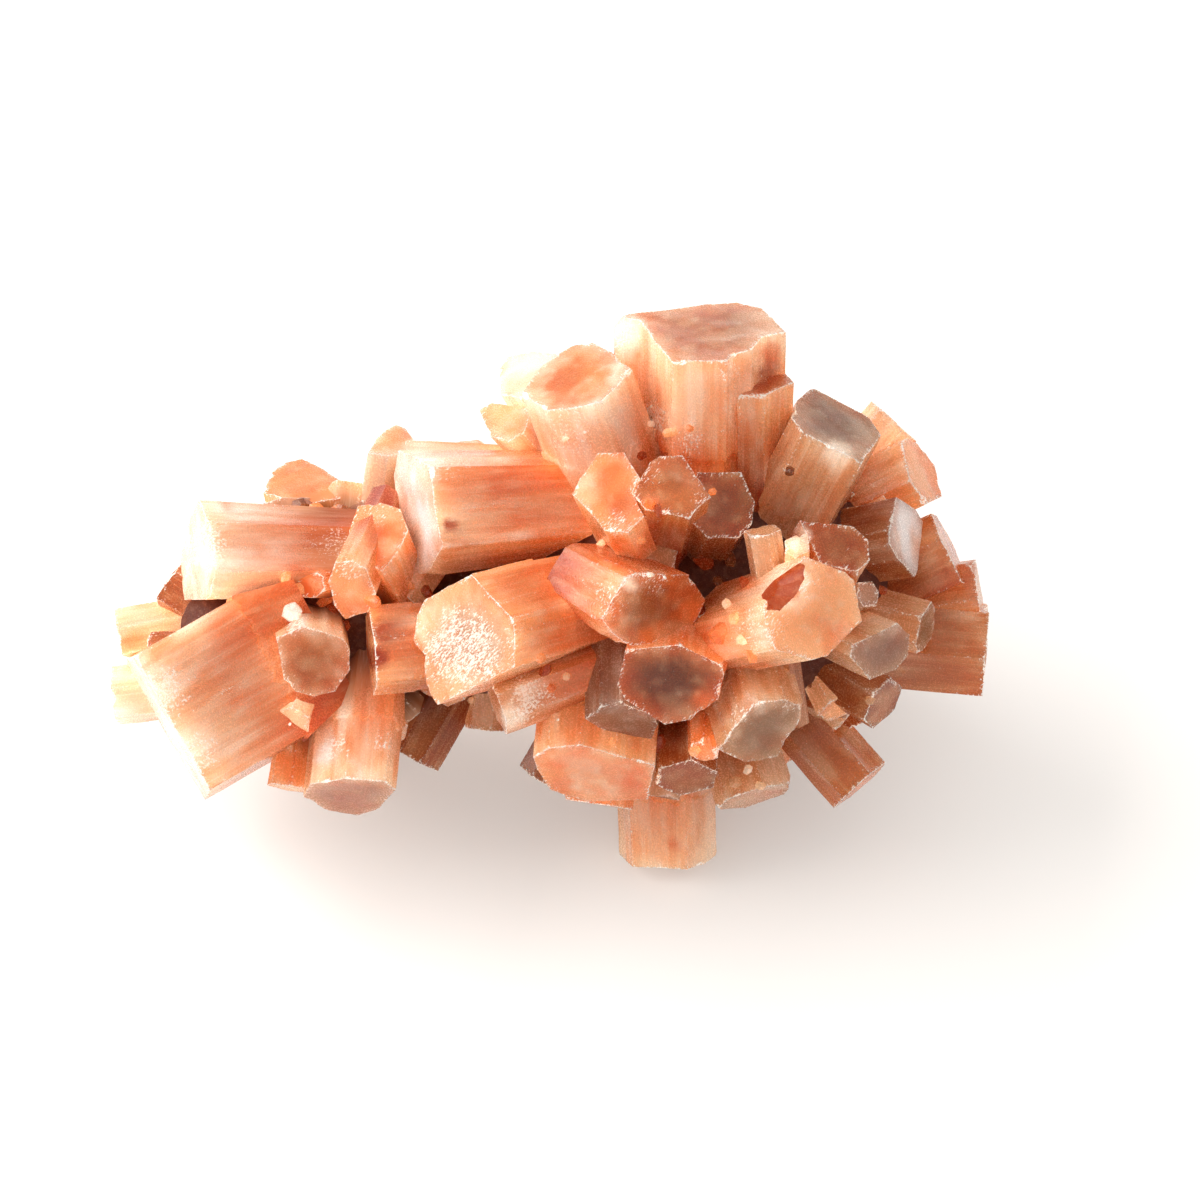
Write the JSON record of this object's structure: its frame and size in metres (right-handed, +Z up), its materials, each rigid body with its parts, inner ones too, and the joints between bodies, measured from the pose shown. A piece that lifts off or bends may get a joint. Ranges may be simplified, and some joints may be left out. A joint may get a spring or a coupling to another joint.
{
  "type": "aragonite sputnik cluster",
  "caption": "Natural cluster of stubby six-sided orange aragonite crystals that radiate from two joined centres and stand on worn crystal ends.",
  "frame": {"origin": "on the ground below the middle of the box around the cluster", "axes": "+Z up, +X along the longest side from the smaller lobe to the larger one, -Y toward the side that the picture looks at"},
  "size_m": [0.0556, 0.0312, 0.034],
  "materials": {
    "aragonite": "translucent orange to brown aragonite, glassy crystal faces, pale frosted edges, dark red-brown recesses"
  },
  "bodies": {
    "root": {"aragonite_cluster": "aragonite"}
  },
  "joints": []
}
